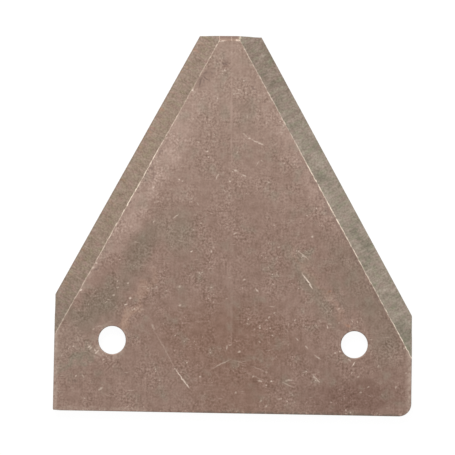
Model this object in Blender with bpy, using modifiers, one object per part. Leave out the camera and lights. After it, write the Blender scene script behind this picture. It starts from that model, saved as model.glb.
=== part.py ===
"""A sickle section: one triangular blade of a mower's cutter bar, with two rivet holes and smooth edges.

It is blanked from steel strip, which rounds the upper rim, and its two slanting sides are then ground
from above. The origin is midway between the rivet holes, on the underside that lies on the knife back.
+X runs along the rear edge, +Y points to the tip and +Z out of the ground face. All sizes are in metres.
"""

import math

import bmesh
import bpy
from mathutils import Matrix, Vector

# The sheared blank
REAR_WIDTH = 0.0760
SHOULDER_WIDTH = 0.0757
LENGTH = 0.0800
THICKNESS = 0.0020
LEFT_SIDE_LENGTH = 0.0246
RIGHT_SIDE_LENGTH = 0.0213
TIP_WIDTH = 0.0129
TIP_OFFSET = -0.0017
REAR_LEFT_RADIUS = 0.0004
REAR_RIGHT_RADIUS = 0.0027
SHOULDER_RADIUS = 0.0010
TIP_RADIUS = 0.0004

# The rivet holes
HOLE_SPACING = 0.0514
HOLE_DIAMETER = 0.0058
HOLE_TO_REAR = 0.0150

# The rolled rim that the punch leaves on the upper face
RIM_ROLL = 0.00025

# The ground faces. Each rises from a cutting edge, where a thin land is left, to its ridge on the upper face
LEFT_BEVEL_WIDTH = 0.0040
RIGHT_BEVEL_WIDTH = 0.0042
EDGE_LAND = 0.00015
TIP_BREAK_LENGTH = 0.0009
TIP_BREAK_DROP = 0.0003

# How finely round shapes are drawn
ARC_STEP = math.radians(8)
HOLE_STEPS = 64
ROLL_STEPS = 3

# Faces that meet at less than this angle are one flat face
FLAT = math.radians(1)

# How far a grinding cutter reaches past its bevel, in bevel widths
CUTTER_OVERRUN = 4.0

SCALE_COLOUR = (0.275, 0.184, 0.147, 1.0)
GROUND_COLOUR = (0.330, 0.262, 0.206, 1.0)


def clear_scene():
    """Removes whatever the scene holds."""
    for thing in list(bpy.data.objects):
        bpy.data.objects.remove(thing)


def new_collection(name):
    """A collection that is linked to the scene."""
    collection = bpy.data.collections.new(name)
    bpy.context.scene.collection.children.link(collection)
    return collection


def steel(name, colour, roughness):
    """A Principled metal of one colour."""
    material = bpy.data.materials.new(name)
    material.use_nodes = True
    shader = material.node_tree.nodes["Principled BSDF"]
    shader.inputs["Base Color"].default_value = colour
    shader.inputs["Metallic"].default_value = 0.8
    shader.inputs["Roughness"].default_value = roughness
    return material


def blank_corners():
    """The blank's six corners and their radii, anticlockwise from the rear left."""
    rear = -HOLE_TO_REAR
    tip = LENGTH - HOLE_TO_REAR
    return {
        "rear_left": (Vector((-REAR_WIDTH / 2, rear)), REAR_LEFT_RADIUS),
        "rear_right": (Vector((REAR_WIDTH / 2, rear)), REAR_RIGHT_RADIUS),
        "right_shoulder": (Vector((SHOULDER_WIDTH / 2, rear + RIGHT_SIDE_LENGTH)), SHOULDER_RADIUS),
        "tip_right": (Vector((TIP_OFFSET + TIP_WIDTH / 2, tip)), TIP_RADIUS),
        "tip_left": (Vector((TIP_OFFSET - TIP_WIDTH / 2, tip)), TIP_RADIUS),
        "left_shoulder": (Vector((-SHOULDER_WIDTH / 2, rear + LEFT_SIDE_LENGTH)), SHOULDER_RADIUS),
    }


def rounded_outline(corners):
    """The points of a convex outline, anticlockwise, with an arc at each corner."""
    points = []
    for i, (corner, radius) in enumerate(corners):
        before = corners[i - 1][0]
        after = corners[(i + 1) % len(corners)][0]
        arriving = (corner - before).normalized()
        leaving = (after - corner).normalized()
        turn = math.acos(arriving.dot(leaving))
        start = corner - arriving * radius * math.tan(turn / 2)
        centre = start + Vector((-arriving.y, arriving.x)) * radius
        steps = max(2, math.ceil(turn / ARC_STEP))
        for step in range(steps + 1):
            spoke = start - centre
            spoke.rotate(Matrix.Rotation(turn * step / steps, 2))
            points.append(centre + spoke)
    return points


def circle(centre, diameter):
    """The points of a rivet hole."""
    turns = (2 * math.pi * step / HOLE_STEPS for step in range(HOLE_STEPS))
    return [centre + Vector((math.cos(turn), math.sin(turn))) * diameter / 2 for turn in turns]


def add_loop(curve, points):
    """Adds a closed spline of straight stretches to a flat curve."""
    spline = curve.splines.new("POLY")
    spline.points.add(len(points) - 1)
    for place, point in zip(spline.points, points):
        place.co = (point.x, point.y, 0, 1)
    spline.use_cyclic_u = True


def blank_mesh():
    """The punched blank as a closed mesh, from its outline and the two holes in it."""
    curve = bpy.data.curves.new("blank_outline", "CURVE")
    curve.dimensions = "2D"
    curve.fill_mode = "BOTH"
    curve.extrude = THICKNESS / 2
    add_loop(curve, rounded_outline(list(blank_corners().values())))
    for side in (-1, 1):
        add_loop(curve, circle(Vector((side * HOLE_SPACING / 2, 0)), HOLE_DIAMETER))
    outline = bpy.data.objects.new("blank_outline", curve)
    bpy.context.scene.collection.objects.link(outline)
    evaluated = outline.evaluated_get(bpy.context.evaluated_depsgraph_get())
    mesh = bpy.data.meshes.new_from_object(evaluated)
    bpy.data.objects.remove(outline)

    shape = bmesh.new()
    shape.from_mesh(mesh)
    bmesh.ops.remove_doubles(shape, verts=shape.verts, dist=1e-6)
    bmesh.ops.translate(shape, verts=shape.verts, vec=(0, 0, THICKNESS / 2))
    bmesh.ops.recalc_face_normals(shape, faces=shape.faces)
    bmesh.ops.dissolve_limit(shape, angle_limit=FLAT, verts=shape.verts, edges=shape.edges)
    mark_upper_rim(shape)
    shape.to_mesh(mesh)
    shape.free()
    return mesh


def mark_upper_rim(shape):
    """Gives the upper edges of the outline and of the holes the weight that rolls them."""
    weight = shape.edges.layers.float.new("bevel_weight_edge")
    for edge in shape.edges:
        steepness = [abs(face.normal.z) for face in edge.link_faces]
        is_upper = all(vert.co.z > THICKNESS / 2 for vert in edge.verts)
        edge[weight] = float(is_upper and min(steepness) < 0.5 < max(steepness))


def add_rim_roll(section):
    """Rounds the marked rim."""
    roll = section.modifiers.new("rim_roll", "BEVEL")
    roll.width = RIM_ROLL
    roll.segments = ROLL_STEPS
    roll.limit_method = "WEIGHT"
    roll.use_clamp_overlap = False
    roll.loop_slide = False


def grind(section, name, start, end, width, drop, cutters, material):
    """Cuts a flat face along an edge of the outline, drop below the upper face there and rising inwards to it."""
    along = (end - start).normalized().to_3d()
    inward = Vector((-along.y, along.x, 0))
    rise = (inward * width + Vector((0, 0, drop))).normalized()
    out = along.cross(rise)
    length = (end - start).length + 2 * CUTTER_OVERRUN * width
    reach = CUTTER_OVERRUN * width

    shape = bmesh.new()
    bmesh.ops.create_cube(shape, size=1, matrix=Matrix.Diagonal((length, 2 * reach, reach, 1)))
    bmesh.ops.translate(shape, verts=shape.verts, vec=(0, 0, reach / 2))
    mesh = bpy.data.meshes.new(name)
    shape.to_mesh(mesh)
    shape.free()
    mesh.materials.append(material)

    middle = ((start + end) / 2).to_3d() + Vector((0, 0, THICKNESS - drop))
    cutter = bpy.data.objects.new(name, mesh)
    cutter.matrix_world = Matrix.Translation(middle) @ Matrix((along, rise, out)).transposed().to_4x4()
    cutter.display_type = "WIRE"
    cutter.hide_render = True
    cutters.objects.link(cutter)

    cut = section.modifiers.new(name, "BOOLEAN")
    cut.operation = "DIFFERENCE"
    cut.solver = "EXACT"
    cut.material_mode = "TRANSFER"
    cut.object = cutter


def build():
    """Makes the section: blank, rolled rim, tip break and the two ground bevels."""
    clear_scene()
    parts = new_collection("sickle_section")
    cutters = new_collection("grinding_cutters")
    mill_scale = steel("mill_scale", SCALE_COLOUR, 0.55)
    ground_steel = steel("ground_steel", GROUND_COLOUR, 0.42)

    mesh = blank_mesh()
    mesh.name = "sickle_section"
    mesh.materials.append(mill_scale)
    mesh.shade_smooth()
    mesh.set_sharp_from_angle(angle=math.radians(35))
    section = bpy.data.objects.new("sickle_section", mesh)
    parts.objects.link(section)
    add_rim_roll(section)

    corner = {name: place for name, (place, radius) in blank_corners().items()}
    edge_drop = THICKNESS - EDGE_LAND
    grind(section, "tip_break", corner["tip_right"], corner["tip_left"], TIP_BREAK_LENGTH, TIP_BREAK_DROP,
          cutters, mill_scale)
    grind(section, "left_bevel", corner["tip_left"], corner["left_shoulder"], LEFT_BEVEL_WIDTH, edge_drop,
          cutters, ground_steel)
    grind(section, "right_bevel", corner["right_shoulder"], corner["tip_right"], RIGHT_BEVEL_WIDTH, edge_drop,
          cutters, ground_steel)


build()
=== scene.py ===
import math

import bmesh
import bpy
from mathutils import Color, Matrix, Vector, noise


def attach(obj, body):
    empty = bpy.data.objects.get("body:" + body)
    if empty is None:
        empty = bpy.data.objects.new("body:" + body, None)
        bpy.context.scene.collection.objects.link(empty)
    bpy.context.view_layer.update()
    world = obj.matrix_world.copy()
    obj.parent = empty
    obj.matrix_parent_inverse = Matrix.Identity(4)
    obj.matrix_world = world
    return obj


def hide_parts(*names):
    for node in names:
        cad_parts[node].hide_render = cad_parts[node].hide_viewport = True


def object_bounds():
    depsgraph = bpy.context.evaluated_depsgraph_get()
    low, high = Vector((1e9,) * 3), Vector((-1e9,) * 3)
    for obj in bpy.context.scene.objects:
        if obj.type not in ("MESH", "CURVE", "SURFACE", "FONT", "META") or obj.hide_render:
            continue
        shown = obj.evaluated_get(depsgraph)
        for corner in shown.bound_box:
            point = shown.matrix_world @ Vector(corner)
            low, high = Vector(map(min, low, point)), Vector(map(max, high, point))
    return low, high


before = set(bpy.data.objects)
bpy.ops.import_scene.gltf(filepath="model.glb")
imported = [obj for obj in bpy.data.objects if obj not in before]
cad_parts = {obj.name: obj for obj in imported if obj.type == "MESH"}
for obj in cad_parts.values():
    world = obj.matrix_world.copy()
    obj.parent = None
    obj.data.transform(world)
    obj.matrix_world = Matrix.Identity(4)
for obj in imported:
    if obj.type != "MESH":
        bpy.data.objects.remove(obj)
cad_low, cad_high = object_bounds()
bpy.ops.object.select_all(action="DESELECT")


# The blank. A piece of hardened steel strip, 2 mm thick, sheared to a six-sided outline and punched
# with two rivet holes. It starts as a block of strip, and each slanting side is one cut of the shear.
MM = 0.001
THICKNESS = cad_high[2] / MM
REAR = cad_low[1] / MM
TIP = cad_high[1] / MM
REAR_LEFT = Vector((-38.0, REAR))
REAR_RIGHT = Vector((38.0, REAR))
RIGHT_SHOULDER = Vector((37.85, 6.3))
TIP_RIGHT = Vector((4.75, TIP))
TIP_LEFT = Vector((-8.18, TIP))
LEFT_SHOULDER = Vector((-37.92, 9.6))
TIP_CROWN = Vector((-0.5, TIP))
TIP_DROP_RIGHT = 0.17
TIP_DROP_LEFT = 0.09
REAR_STEP = Vector((-38.0, REAR + 0.12)), Vector((-36.3, REAR))
LEFT_HOLE = Vector((-25.68, 0.10))
LEFT_HOLE_RADII = (2.86, 2.96)
RIGHT_HOLE = Vector((25.67, 0.04))
RIGHT_HOLE_RADII = (2.81, 2.85)
CUT_EXACTLY = 1e-7
SAME_PLACE = 0.01


def select_edges(test):
    """In edit mode, selects the edges that pass a test, and nothing else."""
    bpy.ops.mesh.select_mode(type="EDGE")
    bpy.ops.mesh.select_all(action="DESELECT")
    mesh = bpy.context.edit_object.data
    shape = bmesh.from_edit_mesh(mesh)
    for edge in shape.edges:
        edge.select_set(test(edge))
    bmesh.update_edit_mesh(mesh)


def cut(place, out, keep_outside=False):
    """In edit mode, cuts the steel along a plane, and takes away or keeps what lies outside it."""
    bpy.ops.mesh.select_all(action="SELECT")
    bpy.ops.mesh.bisect(plane_co=place * MM, plane_no=out, use_fill=not keep_outside,
                        clear_outer=not keep_outside, threshold=CUT_EXACTLY)


def shear(start, end):
    """One stroke of the shear, between two corners of an outline that runs anticlockwise."""
    along = (end - start).normalized()
    cut(start.to_3d(), Vector((along.y, -along.x, 0)))


def round_corner(before, corner, after, radius, steps):
    """Rounds one upright edge of the blank."""
    def is_at_corner(vert):
        return (vert.co.xy / MM - corner).length < SAME_PLACE

    turn = (corner - before).angle(after - corner)
    select_edges(lambda edge: all(map(is_at_corner, edge.verts)))
    bpy.ops.mesh.bevel(offset=radius * math.tan(turn / 2) * MM, segments=steps, affect="EDGES")


def punch_hole(centre, radii):
    """Punches one rivet hole, with a tool of two radii: across and along the blade."""
    bpy.ops.mesh.primitive_cylinder_add(vertices=96, radius=MM, depth=4 * THICKNESS * MM,
                                        location=centre.to_3d() * MM, scale=(*radii, 1))
    tool = bpy.context.object
    bpy.context.view_layer.objects.active = blade
    blade.modifiers.new("punch", "BOOLEAN").object = tool
    bpy.ops.object.modifier_apply(modifier="punch")
    bpy.data.objects.remove(tool)


strip_size = Vector((2 * REAR_RIGHT.x, TIP - REAR, THICKNESS)) * MM
strip_middle = Vector((0, (TIP + REAR) / 2, THICKNESS / 2)) * MM
bpy.ops.mesh.primitive_cube_add(size=1, location=strip_middle, scale=strip_size)
blade = bpy.context.object
blade.name = "blade"
bpy.ops.object.transform_apply(location=True, rotation=True, scale=True)

bpy.ops.object.mode_set(mode="EDIT")
shear(REAR_RIGHT, RIGHT_SHOULDER)
shear(RIGHT_SHOULDER, TIP_RIGHT)
shear(TIP_LEFT, LEFT_SHOULDER)
shear(LEFT_SHOULDER, REAR_LEFT)
round_corner(REAR_LEFT, REAR_RIGHT, RIGHT_SHOULDER, radius=2.7, steps=14)
round_corner(LEFT_SHOULDER, REAR_LEFT, REAR_RIGHT, radius=0.4, steps=6)
round_corner(REAR_RIGHT, RIGHT_SHOULDER, TIP_RIGHT, radius=1.0, steps=3)
round_corner(TIP_LEFT, LEFT_SHOULDER, REAR_LEFT, radius=0.6, steps=3)
round_corner(TIP_RIGHT, TIP_LEFT, LEFT_SHOULDER, radius=0.15, steps=3)
shear(TIP_RIGHT - Vector((0, TIP_DROP_RIGHT)), TIP_CROWN)
shear(TIP_CROWN, TIP_LEFT - Vector((0, TIP_DROP_LEFT)))
shear(*REAR_STEP)
bpy.ops.object.mode_set(mode="OBJECT")
punch_hole(LEFT_HOLE, LEFT_HOLE_RADII)
punch_hole(RIGHT_HOLE, RIGHT_HOLE_RADII)


# The rolled rim and the ground faces. The punch drags the upper rim of the outline and of the holes
# down a little. A wheel then grinds the slanting sides to cutting edges, and bevels the tip a little.
RIM_ROLL = 0.25
LEFT_BEVEL_WIDTH = 4.1
RIGHT_BEVEL_WIDTH = 4.35
EDGE_LAND = 0.15
TIP_BREAK_LENGTH = 1.03
TIP_BREAK_DROP = 0.3
TIP_RIDGE = TIP - TIP_BREAK_LENGTH
RIDGE_WEAR = 0.1
SQUARE_WITHIN = 0.001
BEVEL_SLOPES = (0.85, 0.96)


def is_level(face):
    return abs(face.normal.z) > 1 - SQUARE_WITHIN


def is_upright(face):
    return abs(face.normal.z) < SQUARE_WITHIN


def is_upper_rim(edge):
    """Whether an edge lies between the upper face and a sheared side."""
    is_high = all(vert.co.z > THICKNESS / 2 * MM for vert in edge.verts)
    return is_high and any(map(is_level, edge.link_faces)) and any(map(is_upright, edge.link_faces))


def is_ridge(edge):
    """Whether an edge lies between the upper face and a bevel, which is steeper than the tip break."""
    low, high = BEVEL_SLOPES
    is_ground = any(low < face.normal.z < high for face in edge.link_faces)
    return is_ground and any(map(is_level, edge.link_faces))


def round_edges(test, width, steps):
    """Rounds the edges that pass a test."""
    select_edges(test)
    bpy.ops.mesh.bevel(offset=width * MM, segments=steps, affect="EDGES", clamp_overlap=False,
                       loop_slide=False)


def grind(start, end, width, drop):
    """Grinds a flat face that starts at an edge, drop below the upper face, and rises inwards to it."""
    along = (end - start).normalized().to_3d()
    rise = Vector((-along.y * width, along.x * width, drop)).normalized()
    cut(start.to_3d() + Vector((0, 0, THICKNESS - drop)), along.cross(rise))


bpy.ops.object.mode_set(mode="EDIT")
round_edges(is_upper_rim, RIM_ROLL, steps=4)
grind(TIP_RIGHT, TIP_LEFT, TIP_BREAK_LENGTH, TIP_BREAK_DROP)
grind(TIP_LEFT, LEFT_SHOULDER, LEFT_BEVEL_WIDTH, THICKNESS - EDGE_LAND)
grind(RIGHT_SHOULDER, TIP_RIGHT, RIGHT_BEVEL_WIDTH, THICKNESS - EDGE_LAND)
round_edges(is_ridge, RIDGE_WEAR, steps=2)
bpy.ops.object.mode_set(mode="OBJECT")


# The torn sides. The shear cuts only the upper part of the strip, which it leaves bright and smooth.
# Below that the steel tears, and the side falls back a little and is rough. No face is dead flat.
GRID = 1.0
WALL_LEVELS = [0.35, 0.7, 1.05, 1.4]
TORN_HEIGHT = 1.15
TORN_BLEND = 0.3
TORN_WAVE = 0.25
TORN_WAVES_PER_MM = 0.5
TORN_DEPTH = 0.09
TEAR_SIZE = 0.7
SLIVER = 0.01
WAVE_SIZE = 14.0
WAVE_DEPTH = 0.03
LAND_DEPTH = 0.05
WALL_LEAN = 0.05
SMOOTH_ANGLE = math.radians(30)


def inward(start, end):
    """The level direction that points into the blade from a side of its outline."""
    along = (end - start).normalized()
    return Vector((-along.y, along.x, 0))


def depth_from(place, start, end):
    """How far a place in mm lies inside the line of a side of the outline."""
    return (place - start.to_3d()).dot(inward(start, end))


def is_cutting_edge(place):
    """Whether a place in mm lies on the narrow land of one of the two cutting edges."""
    depths = depth_from(place, TIP_LEFT, LEFT_SHOULDER), depth_from(place, RIGHT_SHOULDER, TIP_RIGHT)
    return min(depths) < LAND_DEPTH


def is_wall(edge):
    """Whether an edge lies in a sheared side or in the wall of a rivet hole."""
    place = edge.verts[0].co / MM
    return all(map(is_upright, edge.link_faces)) and not is_cutting_edge(place)


def tearing(place):
    """How torn the side is at a place in mm, from 0 where it is cut clean to 1."""
    edge_of_tear = TORN_HEIGHT + TORN_WAVE * noise.noise(place.xy.to_3d() * TORN_WAVES_PER_MM)
    return min(max((edge_of_tear - place.z) / TORN_BLEND, 0.0), 1.0)


def uneven(name, size, depth, group=""):
    """Moves the surface inwards by up to depth, in lumps of about the size given."""
    lumps = bpy.data.textures.new(name, "CLOUDS")
    lumps.noise_scale = size * MM
    press = blade.modifiers.new(name, "DISPLACE")
    press.texture = lumps
    press.strength = depth * MM
    press.mid_level = 1.0
    press.vertex_group = group
    bpy.ops.object.modifier_apply(modifier=name)


bpy.ops.object.mode_set(mode="EDIT")
for column in range(math.ceil(REAR_LEFT.x), math.ceil(REAR_RIGHT.x)):
    cut(Vector((column * GRID, 0, 0)), Vector((1, 0, 0)), keep_outside=True)
for row in range(math.floor(REAR) + 1, math.ceil(TIP)):
    cut(Vector((0, row * GRID, 0)), Vector((0, 1, 0)), keep_outside=True)
for level in WALL_LEVELS:
    cut(Vector((0, 0, level)), Vector((0, 0, 1)), keep_outside=True)
select_edges(is_wall)
bpy.ops.mesh.subdivide(number_cuts=2)
bpy.ops.mesh.select_all(action="SELECT")
bpy.ops.mesh.remove_doubles(threshold=SLIVER * MM)
bpy.ops.object.mode_set(mode="OBJECT")

torn = blade.vertex_groups.new(name="torn")
shape = bmesh.new()
shape.from_mesh(blade.data)
for vert in shape.verts:
    on_wall = any(abs(face.normal.z) < WALL_LEAN for face in vert.link_faces)
    if on_wall and not is_cutting_edge(vert.co / MM):
        torn.add([vert.index], tearing(vert.co / MM), "REPLACE")
shape.free()
uneven("tear", TEAR_SIZE, TORN_DEPTH, group="torn")
uneven("wave", WAVE_SIZE, WAVE_DEPTH)
blade.vertex_groups.clear()
bpy.ops.object.shade_smooth_by_angle(angle=SMOOTH_ANGLE)


# The scaled faces. Hot rolling leaves a thin brown scale on both sides of the strip, with faint lines
# along its length. The heat of the grinding wheel has tinted it in bands beside the ridges of the upper
# face, and years among other blades have scratched it.
SCALE = (146, 120, 107)
SCALE_METALLIC = 0.6
SCALE_ROUGHNESS = 0.5
WORN_STEEL = (242, 223, 206)
BARE_RIDGE_AND_HIGHLIGHT = (255, 236, 216)
PINK_TINT = (175, 150, 137)
OLIVE_TINT = (131, 115, 100)
TAN_TINT = (172, 142, 123)
RUST_TINT = (178, 134, 108)
RED_TINT = (121, 92, 80)
UMBER_TINT = (123, 88, 69)
GREEN_TINT = (134, 125, 108)
GREY_TINT = (156, 140, 126)
TIP_TINT_AND_PAINTED_LIGHT = (163, 140, 126)
SOOT_AND_PAINTED_SHADE = (104, 84, 77)
RIM_PAINTED_SHADE = (100, 92, 80)
TIP_BREAK_PAINTED_SHADE = -0.25
RIDGE_BRIGHTNESS = 0.80
MARK_WOBBLE = 0.12
PATCH_WANDER = 1.2
# The tints, in the order in which they lie on each other: the colour of each, its middle, its size, how
# far it is turned and how strong it is.
TINTS = [
    (OLIVE_TINT, (-27.9, 7.8), (21, 10.5), 48, 0.80),
    (OLIVE_TINT, (-32.8, 5.2), (9, 9), 48, 0.62),
    (OLIVE_TINT, (-20.3, 18.7), (20, 8), 60, 0.60),
    (OLIVE_TINT, (-22.2, 20.8), (9, 3.5), 60, 0.30),
    (GREEN_TINT, (-12.0, 23.0), (12, 13), 0, 0.40),
    (OLIVE_TINT, (2.3, 49.0), (6, 11), 0, 0.40),
    (GREEN_TINT, (15.5, 13.0), (26, 5.5), 123, 0.45),
    (OLIVE_TINT, (22.5, 11.0), (12, 5), 120, 0.50),
    (OLIVE_TINT, (32.0, -0.8), (8, 12), 0, 0.40),
    (GREEN_TINT, (15.2, 19.0), (4, 5), 0, 0.50),
    (GREEN_TINT, (-2.6, 48.5), (4, 6), 0, 0.40),
    (UMBER_TINT, (0.5, -11.5), (27, 20), 0, 0.34),
    (GREY_TINT, (-35.0, -1.5), (12, 18), 0, 0.28),
    (GREEN_TINT, (-33.0, -4.0), (13, 3.2), 30, 0.65),
    (TAN_TINT, (-22.3, 5.0), (10, 2.8), 58, 0.60),
    (TAN_TINT, (-19.0, 11.0), (13, 2.6), 60, 0.40),
    (TAN_TINT, (21.9, 7.3), (11, 2.2), 125, 0.28),
    (RUST_TINT, (19.4, 11.0), (1.8, 1.4), 20, 0.45),
    (RUST_TINT, (24.4, 4.2), (1.6, 1.6), 0, 0.50),
    (TAN_TINT, (15.9, 15.2), (18, 3.0), 126, 0.22),
    (RED_TINT, (26.0, -11.4), (30, 11), 0, 0.70),
    (RED_TINT, (20.0, -8.0), (36, 22), 0, 0.20),
    (RED_TINT, (33.5, -9.0), (9, 10), 0, 0.25),
    (UMBER_TINT, (-0.8, 0.5), (44, 25), 0, 0.44),
    (RED_TINT, (-2.2, 58.2), (2.6, 4.0), 0, 0.35),
    (PINK_TINT, (9.5, 30.0), (5, 7), 0, 0.30),
]
# Smudges of soot, told in the same way but for the colour.
SMUDGES = [
    ((-7.2, 56.0), (5.6, 2.4), 48, 0.22),
    ((-17.9, 35.2), (3.4, 1.6), 60, 0.30),
    ((-2.6, 59.6), (3.6, 3.6), 0, 0.25),
    ((-33.5, -9.8), (2.0, 1.1), 30, 0.40),
]
# Scratches: where each starts and ends, its width and how bright it is.
SCRATCHES = [
    ((-4.6, 63.8), (-2.5, 63.95), 0.30, 0.50),
    ((1.0, 44.6), (2.5, 43.5), 0.30, 0.30),
    ((2.4, 43.5), (2.9, 43.3), 0.35, 0.90),
    ((2.9, 43.3), (5.9, 41.8), 0.28, 0.60),
    ((-0.7, 36.7), (0.5, 36.2), 0.40, 0.45),
    ((0.9, 35.8), (2.3, 35.2), 0.35, 0.45),
    ((4.1, 37.4), (4.9, 38.8), 0.22, 0.30),
    ((5.1, 38.8), (5.8, 38.5), 0.22, 0.40),
    ((1.9, 48.5), (2.4, 47.4), 0.30, 0.25),
    ((-4.4, 34.3), (-3.8, 35.8), 0.25, 0.50),
    ((-12.2, 34.3), (-11.9, 34.4), 0.40, 0.80),
    ((-10.2, 30.6), (-9.6, 30.0), 0.25, 0.25),
    ((-9.6, 30.0), (-8.8, 31.0), 0.25, 0.25),
    ((-13.2, 26.0), (-12.0, 27.1), 0.28, 0.50),
    ((-17.6, 25.1), (-17.0, 25.7), 0.25, 0.40),
    ((-8.4, 42.6), (-7.9, 42.1), 0.30, 0.35),
    ((-17.4, 3.8), (-16.7, 2.2), 0.45, 0.30),
    ((-16.7, 2.2), (-12.2, -5.6), 0.35, 0.16),
    ((-12.2, -5.7), (-10.6, -7.9), 0.30, 0.70),
    ((-11.4, -6.7), (-10.0, -8.7), 0.26, 0.75),
    ((-10.8, -7.6), (-9.0, -10.0), 0.28, 0.85),
    ((-4.6, -5.7), (-0.3, -3.4), 0.28, 0.35),
    ((-1.2, -0.5), (-1.5, -1.6), 0.35, 0.40),
    ((-1.0, -0.6), (-0.2, -0.4), 0.25, 0.30),
    ((-30.9, -1.7), (-30.0, -1.0), 0.32, 0.50),
    ((-30.6, -2.1), (-29.8, -1.4), 0.32, 0.40),
    ((-29.3, -2.9), (-28.5, -2.1), 0.38, 0.80),
    ((-29.5, -1.8), (-29.1, -2.3), 0.35, 0.40),
    ((-30.0, 2.2), (-29.2, 2.6), 0.30, 0.30),
    ((-33.4, -7.9), (-32.9, -7.4), 0.30, 0.45),
    ((-32.0, -7.2), (-31.4, -8.0), 0.30, 0.30),
    ((-28.4, -10.6), (-27.4, -9.8), 0.35, 0.40),
    ((13.4, 19.6), (15.8, 17.8), 0.28, 0.40),
    ((14.2, 18.8), (14.6, 18.4), 0.30, 0.60),
    ((14.2, 15.0), (15.6, 13.3), 0.26, 0.85),
    ((15.0, 14.0), (16.2, 12.6), 0.34, 1.00),
    ((15.8, 13.1), (16.6, 11.5), 0.28, 0.90),
    ((4.3, 11.8), (5.3, 10.6), 0.28, 0.45),
    ((13.0, 1.4), (14.0, 0.6), 0.30, 0.35),
    ((15.1, -0.2), (15.9, -1.0), 0.35, 0.40),
    ((17.0, -2.1), (18.7, -3.3), 0.28, 0.40),
    ((16.8, -6.4), (18.6, -8.2), 0.28, 0.55),
    ((26.0, -3.4), (25.2, -4.7), 0.30, 0.70),
    ((24.4, -2.9), (25.0, -3.6), 0.35, 0.35),
    ((19.8, 4.2), (20.0, 3.1), 0.30, 0.45),
    ((30.5, -4.6), (31.1, -4.3), 0.40, 0.50),
    ((5.2, -7.7), (6.3, -8.2), 0.35, 0.45),
    ((11.0, -7.9), (12.5, -7.6), 0.30, 0.40),
    ((9.5, -11.8), (10.7, -11.6), 0.30, 0.35),
    ((-0.6, -3.5), (3.2, -4.6), 0.25, 0.18),
    ((3.2, -4.6), (7.6, -6.2), 0.25, 0.15),
    ((2.0, -6.0), (8.4, -8.6), 0.25, 0.15),
    ((-1.65, 65.1), (-1.35, 63.3), 0.26, 0.25),
    ((-0.7, 64.3), (0.1, 63.8), 0.35, 0.40),
    ((10.8, 3.4), (11.6, 2.3), 0.30, 0.22),
    ((1.6, -4.6), (2.8, -4.9), 0.22, 0.22),
    ((10.3, -8.1), (13.2, -9.3), 0.24, 0.25),
    ((-8.5, 29.7), (-7.6, 28.9), 0.25, 0.25),
]
BACK_SCRATCHES = [
    ((-20.0, 30.5), (-15.5, 33.0), 0.30, 0.35),
    ((-9.0, 12.0), (-3.0, 9.5), 0.28, 0.45),
    ((-2.5, 9.4), (1.0, 8.3), 0.25, 0.25),
    ((8.0, 24.0), (10.2, 28.5), 0.30, 0.50),
    ((6.0, 45.0), (3.2, 49.5), 0.25, 0.35),
    ((-3.0, 57.0), (-1.8, 54.2), 0.30, 0.40),
    ((16.0, -6.5), (22.0, -8.0), 0.28, 0.40),
    ((-30.0, -9.0), (-26.5, -7.6), 0.30, 0.45),
    ((29.5, 4.0), (31.2, 1.2), 0.28, 0.35),
    ((-12.0, -4.0), (-9.5, -7.5), 0.26, 0.60),
    ((-14.5, 2.5), (14.0, -2.5), 0.35, 0.14),
    ((-4.0, 20.0), (12.0, 38.0), 0.30, 0.12),
]
# Small bright chips that stand out from the rest: where each is, and how bright.
CHIP_SIZE = (0.75, 0.55)
CHIP_TURN = 30
CHIPS = [
    ((-6.3, 40.4), 0.6), ((-9.2, 19.2), 0.8), ((-6.8, -7.3), 0.7), ((-22.9, 7.7), 0.7),
    ((-22.0, 9.1), 0.6), ((-11.6, 11.7), 0.6), ((8.2, -8.0), 0.9), ((7.1, -8.8), 0.5),
    ((34.7, -8.8), 0.6), ((-17.5, 32.7), 0.5), ((-21.2, 6.8), 0.5), ((-27.4, -4.1), 0.4),
    ((5.6, 3.2), 0.5), ((13.0, 5.1), 0.5), ((16.3, 22.8), 0.5), ((2.1, 13.4), 0.5),
    ((36.2, -0.5), 0.4), ((22.3, 4.6), 0.4), ((28.8, -8.9), 0.35), ((-11.4, 7.7), 0.35),
    ((0.1, 64.1), 0.5), ((-9.65, 53.3), 0.9), ((-32.5, 10.6), 0.9), ((-30.0, 15.4), 0.6),
    ((-29.3, 16.4), 0.6), ((7.5, 5.5), 0.4), ((8.6, 6.5), 0.35), ((7.0, 4.9), 0.3),
    ((4.4, 2.9), 0.35), ((5.6, 0.2), 0.35), ((1.3, -1.9), 0.4), ((4.3, -7.1), 0.35),
    ((7.2, -6.1), 0.3), ((0.7, -10.6), 0.45), ((6.1, -12.2), 0.35), ((7.2, -13.3), 0.3),
    ((18.2, -6.0), 0.3), ((12.3, -7.8), 0.4), ((9.3, 20.5), 0.35), ((-1.5, 9.3), 0.3),
    ((22.3, 7.6), 0.4), ((26.6, -6.8), 0.35), ((20.9, -12.3), 0.3), ((-24.7, 11.3), 0.4),
    ((-25.6, 9.6), 0.5), ((-22.5, 12.3), 0.35), ((-11.4, 34.1), 0.3), ((0.2, 40.4), 0.35),
    ((36.7, -5.8), 0.4), ((27.2, -10.1), 0.4),
]
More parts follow.
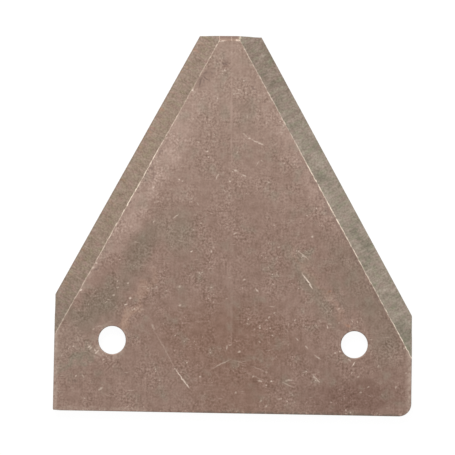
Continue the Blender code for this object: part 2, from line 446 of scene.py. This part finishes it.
# Dark marks: where each starts and ends, its width and how dark it is. The first is painted shade over
# a glint where the left ridge meets the tip; the rest are bruises in the scale.
BRUISES_AND_TIP_SHADE = [
    ((-4.6, 65.0), (-4.4, 64.1), 0.45, 0.60),
    ((-8.3, 54.0), (-7.6, 56.3), 0.40, 0.55),
    ((-7.7, 56.6), (-5.9, 55.3), 0.35, 0.60),
    ((-7.4, 56.8), (-6.3, 57.4), 0.35, 0.40),
    ((-5.9, 57.4), (-5.3, 56.7), 0.40, 0.40),
    ((-7.1, 56.1), (-7.3, 54.7), 0.35, 0.45),
    ((-3.7, 59.3), (-2.1, 58.8), 0.60, 0.50),
    ((-4.8, 59.8), (-4.0, 59.3), 0.40, 0.35),
    ((2.7, 54.4), (4.0, 53.5), 0.50, 0.45),
    ((-29.9, 14.7), (-28.7, 15.5), 0.60, 0.50),
    ((-27.8, 18.9), (-26.6, 18.6), 0.50, 0.30),
    ((-16.0, 41.0), (-16.4, 39.4), 0.45, 0.40),
    ((-17.7, 38.6), (-17.9, 37.8), 0.50, 0.35),
    ((-18.1, 37.2), (-18.3, 36.2), 0.45, 0.50),
    ((-19.0, 35.6), (-19.3, 34.7), 0.45, 0.35),
    ((-22.1, 29.7), (-22.6, 29.0), 0.50, 0.40),
]
# The stretches of each ridge whose bright line, worn steel with a painted highlight, is stronger or
# weaker than the rest: from where to where along the blade, and how much brighter.
LEFT_STRETCHES = [(48.8, 60.2, -0.46), (42.3, 46.0, -0.40), (27.5, 41.9, 0.32), (27.5, 32.7, 0.50),
                  (-6.0, 17.0, -0.32)]
RIGHT_STRETCHES = [(-4.0, 7.0, 0.50), (9.0, 38.5, 0.36), (25.5, 38.5, 0.30), (55.0, 66.0, -0.15)]


def tint(red, green, blue):
    """A colour as the eye names it, from 0 to 255, as the linear numbers that a shader takes."""
    return Color((red / 255, green / 255, blue / 255)).from_srgb_to_scene_linear()


class Amount:
    """A number that varies over the blade: the output of a shader node. Sums of them are nodes too."""

    def __init__(self, finish, output):
        self.finish = finish
        self.output = output

    def __add__(self, other):
        return self.finish.maths("ADD", self, other)

    def __sub__(self, other):
        return self.finish.maths("SUBTRACT", self, other)

    def __mul__(self, other):
        return self.finish.maths("MULTIPLY", self, other)

    def rise(self, low, high):
        """A mask that climbs smoothly from 0 at low to 1 at high, or falls where high is below low."""
        ramp = self.finish.node("ShaderNodeMapRange", self, low, high, interpolation_type="SMOOTHSTEP")
        return Amount(self.finish, ramp.outputs["Result"])

    def between(self, low, high, soft):
        """A mask that is 1 between low and high, with soft edges."""
        return self.rise(low - soft, low + soft) * self.rise(high + soft, high - soft)

    def larger(self, other):
        return self.finish.maths("MAXIMUM", self, other)


class Finish:
    """A finish of the steel, laid on in coats over one colour, with places and sizes in mm."""

    def __init__(self, name, colour, metallic, roughness):
        self.material = bpy.data.materials.new(name)
        self.material.use_nodes = True
        self.shader = self.material.node_tree.nodes["Principled BSDF"]
        self.shader.inputs["Metallic"].default_value = metallic
        self.colour = tint(*colour)
        self.roughness = roughness
        self.relief = 0.0
        in_metres = self.node("ShaderNodeTexCoord").outputs["Object"]
        self.place = self.mapped(in_metres, stretch=(1 / MM, 1 / MM, 1 / MM))
        self.flat = self.mapped(in_metres, stretch=(1 / MM, 1 / MM, 0))
        axes = self.node("ShaderNodeSeparateXYZ", self.place)
        self.x = Amount(self, axes.outputs["X"])
        self.y = Amount(self, axes.outputs["Y"])
        self.z = Amount(self, axes.outputs["Z"])
        self.cloud_place = self.place
        self.cloud_kind = "2D"

    def fill(self, socket, value):
        """Gives an input a number, a colour or what another node puts out."""
        if isinstance(value, Amount):
            value = value.output
        if isinstance(value, bpy.types.NodeSocket):
            self.material.node_tree.links.new(value, socket)
        elif socket.type == "RGBA":
            socket.default_value = (*value, 1.0)
        else:
            socket.default_value = value

    def node(self, kind, *inputs, **settings):
        """Adds a node with its settings, and fills its first inputs in order."""
        node = self.material.node_tree.nodes.new(kind)
        for setting, value in settings.items():
            setattr(node, setting, value)
        for socket, value in zip(node.inputs, inputs):
            self.fill(socket, value)
        return node

    def mapped(self, place, shift=(0, 0, 0), turn=0.0, stretch=(1, 1, 1), kind="POINT"):
        """A place stretched, turned by an angle and shifted, or with kind TEXTURE the reverse."""
        turns = (0, 0, math.radians(turn))
        return self.node("ShaderNodeMapping", place, shift, turns, stretch, vector_type=kind).outputs[0]

    def maths(self, operation, first, second):
        return Amount(self, self.node("ShaderNodeMath", first, second, operation=operation).outputs[0])

    def along(self, direction):
        """How far a place lies along a direction."""
        product = self.node("ShaderNodeVectorMath", self.place, direction, operation="DOT_PRODUCT")
        return Amount(self, product.outputs["Value"])

    def depth_from(self, start, end):
        """How far a place lies inside the line of a side of the outline."""
        across = inward(start, end)
        return self.along(across) - start.to_3d().dot(across)

    def cloud(self, size, detail=2.0, stretch=(1, 1, 1), shift=0.0):
        """A random amount around 0, mostly between -1 and 1, in lumps of about the size given."""
        place = self.mapped(self.cloud_place, (shift, shift, shift), 0.0, stretch)
        return self.lumps(place, 1 / size, detail, self.cloud_kind)

    def lumps(self, place, scale, detail, kind):
        """The clouds at a place that is mapped already. The larger the scale, the smaller they are."""
        clouds = self.node("ShaderNodeTexNoise", place, 0.0, scale, detail, noise_dimensions=kind)
        return (Amount(self, clouds.outputs[0]) - 0.5) * 4.0

    def specks(self, spacing, radius, share, shift=0.0):
        """A mask of small marks about as far apart as spacing, of which only a share show."""
        place = self.mapped(self.wobbly, (shift, shift, 0))
        cells = self.node("ShaderNodeTexVoronoi", place, 0.0, 1 / spacing, voronoi_dimensions="2D")
        pick = self.node("ShaderNodeSeparateColor", cells.outputs["Color"])
        nearness = Amount(self, cells.outputs["Distance"]).rise(radius / spacing, 0.0)
        return nearness * Amount(self, pick.outputs[0]).rise(share, 0.0)

    def patch(self, centre, size, turn=0.0, place=None):
        """A mask of one oval patch that fades to its rim: its length and width, turned by an angle."""
        radii = (size[0] / 2, size[1] / 2, 1)
        oval = self.mapped(place or self.ragged, (*centre, 0), turn, radii, "TEXTURE")
        nearness = self.node("ShaderNodeTexGradient", oval, gradient_type="SPHERICAL")
        return Amount(self, nearness.outputs["Fac"]).rise(0.0, 0.8)

    def stroke(self, start, end, width):
        """A mask of one narrow mark, widest and strongest in its middle and fading to both ends."""
        reach = Vector(end) - Vector(start)
        middle = Vector(start) + reach / 2
        turn = math.degrees(math.atan2(reach.y, reach.x))
        return self.patch(middle, (1.2 * reach.length, 1.5 * width), turn, self.wobbly)

    def strokes(self, table):
        """One mask of all the strokes in a table, whose rows end with the strength of each."""
        together = 0.0
        for start, end, width, strength in table:
            together = (self.stroke(start, end, width) * strength).larger(together)
        return together

    def blur_places(self):
        """Readies the places that strokes and patches are laid at, so that their outlines wander."""
        self.wobbly = self.wander(0.8, MARK_WOBBLE)
        self.ragged = self.wander(3.0, PATCH_WANDER)

    def wander(self, size, reach):
        """Places that are moved aside by up to about a reach, in lumps of about the size given."""
        clouds = self.node("ShaderNodeTexNoise", self.flat, 0.0, 1 / size, 2.0, noise_dimensions="2D")
        centred = self.mapped(self.flat, (-2 * reach, -2 * reach, 0))
        spread = (4 * reach, 4 * reach, 0)
        aside = self.node("ShaderNodeVectorMath", clouds.outputs["Color"], spread, centred,
                          operation="MULTIPLY_ADD")
        return aside.outputs["Vector"]

    def coat(self, colour, mask):
        """Lays a colour over what is there, as thickly as the mask says."""
        mix = self.node("ShaderNodeMix", data_type="RGBA")
        sockets = {socket.identifier: socket for socket in [*mix.inputs, *mix.outputs]}
        self.fill(sockets["Factor_Float"], mask)
        self.fill(sockets["A_Color"], self.colour)
        self.fill(sockets["B_Color"], tint(*colour))
        self.colour = sockets["Result_Color"]

    def shade(self, amount):
        """Makes the colour lighter by a share and its hue weaker, or the reverse below 0."""
        shaded = self.node("ShaderNodeHueSaturation")
        self.fill(shaded.inputs["Saturation"], amount * -0.35 + 1.0)
        self.fill(shaded.inputs["Value"], amount + 1.0)
        self.fill(shaded.inputs["Color"], self.colour)
        self.colour = shaded.outputs["Color"]

    def wear(self, mask, colour, shine, cut_depth):
        """Rubs the finish off: the steel under it is smoother by shine and lower by cut_depth."""
        self.coat(colour, mask)
        self.roughness = mask * -shine + self.roughness
        self.relief = mask * -cut_depth + self.relief

    def done(self):
        """Joins the coats to the shader."""
        self.fill(self.shader.inputs["Base Color"], self.colour)
        self.fill(self.shader.inputs["Roughness"], self.roughness)
        bump = self.node("ShaderNodeBump")
        bump.inputs["Distance"].default_value = MM
        self.fill(bump.inputs["Height"], self.relief)
        self.fill(self.shader.inputs["Normal"], bump.outputs["Normal"])
        return self.material


def roll_scale(finish, shift):
    """Lays on what both scaled faces share: rolling lines, blotches, grain, specks and hairs."""
    finish.blur_places()
    lines = finish.cloud(0.6, stretch=(1, 0.05, 1), shift=shift + 0.2)
    blotches = finish.cloud(6.0, detail=4.0, shift=shift + 0.4)
    stains = finish.cloud(4.0, detail=3.0, shift=shift + 9.6)
    mottle = finish.cloud(1.6, detail=3.0, shift=shift + 0.7)
    grain = finish.cloud(0.45, detail=1.0, shift=shift + 0.3)
    rough = finish.cloud(5.0, shift=shift + 3.9).rise(-0.9, 1.1)
    flecks = finish.cloud(0.50, shift=shift + 5.1) + rough * 0.7 + mottle * 0.3
    finish.coat(GREEN_TINT, (stains + mottle * 0.5).rise(0.0, 1.8) * 0.50)
    finish.shade(lines * 0.045 + blotches * 0.045 + mottle * 0.110 + grain * (rough * 0.22 + 0.080))
    finish.roughness = lines * 0.02 + grain * 0.04 + SCALE_ROUGHNESS
    finish.relief = lines * 0.0015 + grain * 0.0020
    finish.coat(SOOT_AND_PAINTED_SHADE, finish.specks(1.9, 0.35, 0.15, shift) * 0.35)
    finish.wear(flecks.rise(1.27, 2.1) * 0.64, WORN_STEEL, 0.1, 0.005)
    for turn, low in [(28, 0.95), (118, 1.05)]:
        hairs = finish.mapped(finish.wobbly, (shift + low, shift, 0), turn, (0.15, 1, 1))
        finish.coat(WORN_STEEL, finish.lumps(hairs, 2.2, 1.0, "2D").rise(low, 1.8) * 0.30)


def ridge_wear_and_highlight(finish, depth, width, stretches):
    """Lays a broken line of worn steel and painted highlight on a ridge; brightens or dulls its
    stretches.
    """
    patchy = finish.cloud(4.0, shift=3.1) * 0.4 + finish.cloud(0.9, detail=3.0, shift=1.7)
    patchy = patchy.rise(-1.0, 1.0)
    strong = RIDGE_BRIGHTNESS
    for low, high, brighter in stretches:
        strong = finish.y.between(low, high, 0.8) * brighter + strong
    below_tip = finish.y.rise(TIP_RIDGE + 0.3, TIP_RIDGE - 0.3)
    line = (depth + finish.cloud(1.5, shift=6.2) * 0.06).between(width - 0.08, width + 0.08, 0.10)
    finish.wear(line * below_tip * patchy * strong, BARE_RIDGE_AND_HIGHLIGHT, 0.15, 0.0)


upper = Finish("scaled_face", SCALE, SCALE_METALLIC, SCALE_ROUGHNESS)
upper.blur_places()
left = upper.depth_from(TIP_LEFT, LEFT_SHOULDER)
right = upper.depth_from(RIGHT_SHOULDER, TIP_RIGHT)
frayed = upper.cloud(2.5, detail=3.0, shift=5.0)
ragged_left = left + frayed * 0.9
ragged_right = right + frayed * 0.9
# Tints and stains: lighter towards the tip, partly the scale's tone and partly painted light; then
# bands along the ridges, then single patches.
upper.coat(TIP_TINT_AND_PAINTED_LIGHT, upper.y.rise(18, 62) * 0.75)
upper.coat(PINK_TINT, ragged_left.between(3.2, 8.4, 1.6) * upper.y.between(20, 52, 6) * 0.70)
upper.coat(PINK_TINT, upper.patch((-13.2, 39.5), (20, 7), 62) * 0.45)
upper.coat(PINK_TINT, upper.patch((-10.6, 33.5), (16, 6), 64) * 0.25)
upper.coat(PINK_TINT, ragged_left.between(3.0, 5.2, 1.2) * upper.y.between(10, 22, 4) * 0.65)
upper.coat(PINK_TINT, ragged_right.between(3.2, 7.2, 1.6) * upper.y.between(26, 50, 6) * 0.45)
upper.coat(GREEN_TINT, ragged_left.between(10.2, 12.6, 1.6) * upper.y.between(14, 28, 6) * 0.25)
upper.coat(OLIVE_TINT, ragged_right.between(4.0, 9.5, 2.0) * upper.y.between(-2, 22, 5) * 0.50)
for colour, middle, size, turn, strength in TINTS:
    upper.coat(colour, upper.patch(middle, size, turn) * strength)
roll_scale(upper, shift=0.0)
# Soot, dark lines just inside both ridges, bruises and a stroke of painted shade at the tip,
# and two pale streaks along the middle.
for middle, size, turn, strength in SMUDGES:
    upper.coat(SOOT_AND_PAINTED_SHADE, upper.patch(middle, size, turn) * strength)
upper.coat(SOOT_AND_PAINTED_SHADE, ragged_right.between(4.5, 5.1, 0.2) * upper.y.between(4, 40, 4) * 0.25)
broken_up = upper.cloud(0.7, shift=7.7).rise(0.2, 1.1)
upper.coat(SOOT_AND_PAINTED_SHADE, broken_up * left.between(4.3, 5.1, 0.3) * upper.y.between(18, 50, 4) * 0.60)
upper.coat(SOOT_AND_PAINTED_SHADE, upper.strokes(BRUISES_AND_TIP_SHADE))
streak = upper.stroke((-1.5, 64), (-1.0, 33), 0.45)
upper.coat(PINK_TINT, streak * upper.cloud(2.5).rise(-1.5, 1.0) * 0.75)
streak = upper.stroke((-1.1, 40), (-0.15, -13), 0.6)
upper.coat(PINK_TINT, streak * upper.cloud(2.5).rise(-1.0, 1.5) * 0.30)
# Painted shade on the rolled rim and on the break of the tip, which look darker.
rolled = upper.z.rise(THICKNESS - 0.2 * RIM_ROLL, THICKNESS - 0.8 * RIM_ROLL)
upper.coat(RIM_PAINTED_SHADE, rolled * upper.y.rise(TIP - 0.9, TIP - 1.2) * 0.6)
upper.coat(SOOT_AND_PAINTED_SHADE, rolled * upper.y.rise(TIP - 1.2, TIP - 0.9) * 0.5)
upper.shade(upper.y.rise(TIP_RIDGE - 0.1, TIP_RIDGE + 0.1) * TIP_BREAK_PAINTED_SHADE)
# Scratches and chips, down to the steel.
scratched = upper.strokes(SCRATCHES)
for place, brightness in CHIPS:
    scratched = (upper.patch(place, CHIP_SIZE, CHIP_TURN, upper.wobbly) * brightness).larger(scratched)
patchy = upper.cloud(0.5, detail=3.0, shift=2.2).rise(-1.8, 0.6)
upper.wear(scratched * patchy, WORN_STEEL, 0.15, 0.01)
# Pale lines along both sides, and places rubbed thin round the rivet holes and at the left end
# of the rear edge.
rubbed = upper.x.rise(-36.7, -37.5) * 0.20 + upper.x.rise(36.3, 37.6) * 0.24
rubbed = rubbed.larger(upper.patch(LEFT_HOLE, (10.0, 10.0)) * 0.14)
rubbed = rubbed.larger(upper.patch(RIGHT_HOLE, (9.4, 9.4)) * 0.12)
rubbed = rubbed.larger(upper.patch((-27.9, -2.4), (6.0, 6.0)) * 0.22)
rubbed = rubbed.larger(upper.y.rise(REAR + 1.2, REAR + 0.7) * upper.x.rise(-16, -22) * 0.11)
upper.wear(rubbed * upper.cloud(1.0, detail=3.0, shift=8.8).rise(-1.2, 0.8), WORN_STEEL, 0.05, 0.0)
# The rear rim: a broken line of painted shade along it, and bright where it is chipped.
chipped = upper.cloud(0.7, shift=4.4)
rear_rim = upper.y.rise(REAR + 0.7, REAR + 0.25) * upper.x.rise(-20, 0)
upper.coat(RIM_PAINTED_SHADE, rear_rim * chipped.rise(-0.6, 0.6) * 0.65)
upper.wear(upper.y.rise(REAR + 0.7, REAR + 0.4) * chipped.rise(-0.4, -1.2) * 0.25, WORN_STEEL, 0.1, 0.0)
# Bright lines along both ridges: worn bare steel with a painted highlight.
ridge_wear_and_highlight(upper, left, LEFT_BEVEL_WIDTH, LEFT_STRETCHES)
ridge_wear_and_highlight(upper, right, RIGHT_BEVEL_WIDTH, RIGHT_STRETCHES)

back = Finish("scaled_back", SCALE, SCALE_METALLIC, SCALE_ROUGHNESS)
# Lighter towards the tip, as on the upper face: partly the scale's tone and partly painted light.
back.coat(TIP_TINT_AND_PAINTED_LIGHT, back.y.rise(18, 62) * 0.60)
back.coat(PINK_TINT, back.cloud(12.0, detail=3.0, shift=60.5).rise(0.1, 1.5) * 0.45)
back.coat(OLIVE_TINT, back.cloud(10.0, detail=3.0, shift=44.3).rise(0.1, 1.5) * 0.60)
back.coat(RED_TINT, back.cloud(14.0, detail=3.0, shift=52.6).rise(0.3, 1.5) * 0.40)
roll_scale(back, shift=31.0)
scratched = back.strokes(BACK_SCRATCHES)
back.wear(scratched * back.cloud(0.5, detail=3.0, shift=2.2).rise(-1.8, 0.6), WORN_STEEL, 0.15, 0.01)


# The ground faces. The grinding wheel left both bevels bare, with fine lines across them. The steel has
# since dulled, with rust along the left edge. The left bevel is a warm grey and the right one greener,
# partly from that dulling and partly as a painted reflection of different surroundings on each side.
GROUND_METALLIC = 0.75
GROUND_ROUGHNESS = 0.42
WARM_GROUND_AND_REFLECTION = (140, 122, 107)
COOL_GROUND_AND_REFLECTION = (155, 142, 128)
DULL_GROUND = (136, 118, 105)
SMOKED_GROUND = (126, 111, 98)
PALE_GROUND = (174, 162, 147)
GREEN_STAIN = (120, 115, 99)
RUST = (170, 128, 100)
WARM_STREAKS = (136, 125, 101), (149, 121, 112)
COOL_STREAKS = (143, 141, 118), (163, 142, 132)


def turn_clouds(finish, start, end):
    """Turns the clouds of a finish to lie along and across an edge, and gives the depth from it."""
    along = finish.along((end - start).normalized().to_3d())
    across = finish.depth_from(start, end)
    finish.cloud_place = finish.node("ShaderNodeCombineXYZ", along, across).outputs[0]
    return across


def grind_lines(finish, greener, pinker):
    """Lays on the lines of the wheel, and streaks of two other hues that the steel has taken on."""
    lines = finish.cloud(0.50, stretch=(1, 0.30, 1), shift=0.1)
    smears = finish.cloud(1.2, stretch=(1, 0.5, 1), shift=2.3)
    grain = finish.cloud(0.38, detail=3.0, stretch=(1, 0.85, 1), shift=4.1)
    hue = finish.cloud(0.9, detail=3.0, stretch=(1, 0.5, 1), shift=7.3)
    finish.coat(greener, hue.rise(0.0, 1.2) * 0.60)
    finish.coat(pinker, hue.rise(0.0, -1.2) * 0.60)
    finish.shade(lines * 0.085 + smears * 0.095 + grain * 0.210)
    finish.roughness = lines * 0.03 + GROUND_ROUGHNESS
    finish.relief = lines * 0.002 + grain * 0.001


# The left bevel: its warm grey is partly a painted reflection.
ground_left = Finish("ground_left", WARM_GROUND_AND_REFLECTION, GROUND_METALLIC, GROUND_ROUGHNESS)
depth = turn_clouds(ground_left, TIP_LEFT, LEFT_SHOULDER)
ground_left.coat(DULL_GROUND, ground_left.y.rise(26, 2) * 0.8)
ground_left.coat(SMOKED_GROUND, ground_left.y.rise(15, 3) * 0.6)
ground_left.coat(DULL_GROUND, ground_left.y.rise(44, 60) * 0.75)
ground_left.coat(PALE_GROUND, depth.rise(1.2, 0.3) * 0.15)
stained = ground_left.cloud(3.0, stretch=(1, 0.5, 1), shift=8.0)
ground_left.coat(GREEN_STAIN, stained.rise(0.3, 1.6) * 0.40)
rusty = ground_left.cloud(0.9, detail=3.0, stretch=(1, 0.5, 1), shift=5.5)
ground_left.coat(RUST, rusty.rise(0.2, 1.6) * depth.rise(3.0, 0.4) * 0.55)
grind_lines(ground_left, *WARM_STREAKS)
ground_left.shade(depth.rise(0.45, 0.10) * -0.12)
# The bright line along the ridge: worn steel with a painted highlight.
ridge_wear_and_highlight(ground_left, depth, LEFT_BEVEL_WIDTH, LEFT_STRETCHES)

# The right bevel: its cooler, greener grey is partly a painted reflection.
ground_right = Finish("ground_right", COOL_GROUND_AND_REFLECTION, GROUND_METALLIC, GROUND_ROUGHNESS)
ground_right.blur_places()
depth = turn_clouds(ground_right, RIGHT_SHOULDER, TIP_RIGHT)
ground_right.coat(DULL_GROUND, ground_right.y.rise(41, 58) * 0.65)
stained = ground_right.cloud(3.0, detail=3.0, stretch=(1, 0.8, 1), shift=3.0)
ground_right.coat(GREEN_STAIN, stained.rise(-0.2, 1.2) * 0.70)
ground_right.coat(GREEN_STAIN, ground_right.patch((36.2, 2.0), (8, 12), 15) * 0.70)
wiped = ground_right.cloud(1.3, detail=3.0, stretch=(1, 0.6, 1), shift=6.0)
ground_right.coat(PALE_GROUND, wiped.rise(0.0, 1.5) * 0.60)
grind_lines(ground_right, *COOL_STREAKS)
# The bright line along the ridge: worn steel with a painted highlight.
ridge_wear_and_highlight(ground_right, depth, RIGHT_BEVEL_WIDTH, RIGHT_STRETCHES)


# The sheared sides. The upper band is burnished by the shear blade, and below it the torn steel is dull
# and coarse. The rivet holes are punched and look the same.
BURNISHED = (160, 144, 130)
TORN = (112, 96, 86)
TORN_ROUGHNESS = 0.6
BURNISH_SHINE = 0.25
SIDEWAYS = 0.5

sides = Finish("sheared_side", TORN, GROUND_METALLIC, TORN_ROUGHNESS)
sides.cloud_kind = "3D"
coarse = sides.cloud(0.25, detail=3.0, stretch=(1, 1, 0.6))
shear_lines = sides.cloud(0.2, stretch=(1, 1, 0.08), shift=5.0)
clean = (sides.z + sides.cloud(1.5) * 0.15).rise(TORN_HEIGHT - 0.1, TORN_HEIGHT + 0.2)
sides.shade(coarse * 0.12)
sides.coat(BURNISHED, clean)
sides.shade(shear_lines * 0.05)
sides.roughness = clean * -BURNISH_SHINE + TORN_ROUGHNESS
sides.relief = coarse * 0.02 + shear_lines * 0.002


def finish_of(face):
    """Which finish a face of the blade has, by where it lies and which way it faces."""
    middle = face.center / MM
    if face.normal.z < -SIDEWAYS:
        return back
    if face.normal.z < SIDEWAYS:
        return sides
    if depth_from(middle, TIP_LEFT, LEFT_SHOULDER) < LEFT_BEVEL_WIDTH:
        return ground_left
    if depth_from(middle, RIGHT_SHOULDER, TIP_RIGHT) < RIGHT_BEVEL_WIDTH:
        return ground_right
    return upper


finishes = [upper, back, ground_left, ground_right, sides]
for finish in finishes:
    blade.data.materials.append(finish.done())
for face in blade.data.polygons:
    face.material_index = finishes.index(finish_of(face))
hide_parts("sickle_section")
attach(blade, "root")


# The floor and the light. The blade lies on white card in a white room, under one large soft lamp up to
# the left. Card and room look pure white, in reflections too, and the card keeps a faint shadow.
FLOOR_SIZE = 3.0
ROOM_LIGHT = 0.5
CARD_SHADE = 0.10
CARD_GLOW = 0.95
LAMP_PLACE = Vector((-0.15, 0.55, 0.40))
LAMP_SIZE = 0.35
LAMP_POWER = 3.0


def glow_strength(tree, lighting, looked_at):
    """The strength of a glow: lighting is for the light it gives, looked_at for how it looks."""
    ray = tree.nodes.new("ShaderNodeLightPath")
    seen = ray.outputs["Is Camera Ray"]
    for kind in ["Is Glossy Ray", "Is Transmission Ray"]:
        either = tree.nodes.new("ShaderNodeMath")
        either.operation = "MAXIMUM"
        tree.links.new(seen, either.inputs[0])
        tree.links.new(ray.outputs[kind], either.inputs[1])
        seen = either.outputs[0]
    ramp = tree.nodes.new("ShaderNodeMapRange")
    tree.links.new(seen, ramp.inputs["Value"])
    ramp.inputs["To Min"].default_value = lighting
    ramp.inputs["To Max"].default_value = looked_at
    return ramp.outputs["Result"]


bpy.ops.mesh.primitive_plane_add(size=FLOOR_SIZE)
floor = bpy.context.object
floor.name = "floor"
card = bpy.data.materials.new("white_card")
card.use_nodes = True
card_nodes = card.node_tree.nodes
card_links = card.node_tree.links
card_nodes.remove(card_nodes["Principled BSDF"])
paper = card_nodes.new("ShaderNodeBsdfDiffuse")
paper.inputs["Color"].default_value = (CARD_SHADE, CARD_SHADE, CARD_SHADE, 1)
glow = card_nodes.new("ShaderNodeEmission")
both = card_nodes.new("ShaderNodeAddShader")
card_links.new(glow_strength(card.node_tree, 0, CARD_GLOW), glow.inputs["Strength"])
card_links.new(paper.outputs[0], both.inputs[0])
card_links.new(glow.outputs[0], both.inputs[1])
card_links.new(both.outputs[0], card_nodes["Material Output"].inputs["Surface"])
floor.data.materials.append(card)

room = bpy.data.worlds.new("room")
room.use_nodes = True
light = room.node_tree.nodes["Background"]
light.inputs["Color"].default_value = (1, 1, 1, 1)
room.node_tree.links.new(glow_strength(room.node_tree, ROOM_LIGHT, 1), light.inputs["Strength"])
bpy.context.scene.world = room

lamp_data = bpy.data.lights.new("lamp", "AREA")
lamp_data.size = LAMP_SIZE
lamp_data.energy = LAMP_POWER
lamp = bpy.data.objects.new("lamp", lamp_data)
lamp.location = LAMP_PLACE
lamp.rotation_euler = LAMP_PLACE.to_track_quat("Z", "Y").to_euler()
bpy.context.scene.collection.objects.link(lamp)


# The camera looks straight down on the blade, which lies turned a degree clockwise in the picture. It
# is far off, with a long lens, so that the sheared sides don't show.
PICTURE_WIDTH = 96.40
PICTURE_MIDDLE = Vector((-1.66, 24.39))
CAMERA_HEIGHT = 1500.0
CAMERA_TURN = math.radians(1.04)
camera_data = bpy.data.cameras.new("camera")
camera_data.sensor_width = 36.0
camera_data.lens = camera_data.sensor_width * CAMERA_HEIGHT / PICTURE_WIDTH
camera_data.clip_end = 10.0
camera = bpy.data.objects.new("camera", camera_data)
camera.location = Vector((PICTURE_MIDDLE.x, PICTURE_MIDDLE.y, THICKNESS + CAMERA_HEIGHT)) * MM
camera.rotation_euler = (0, 0, CAMERA_TURN)
bpy.context.scene.collection.objects.link(camera)
bpy.context.scene.camera = camera
bpy.context.scene.view_settings.view_transform = "Standard"
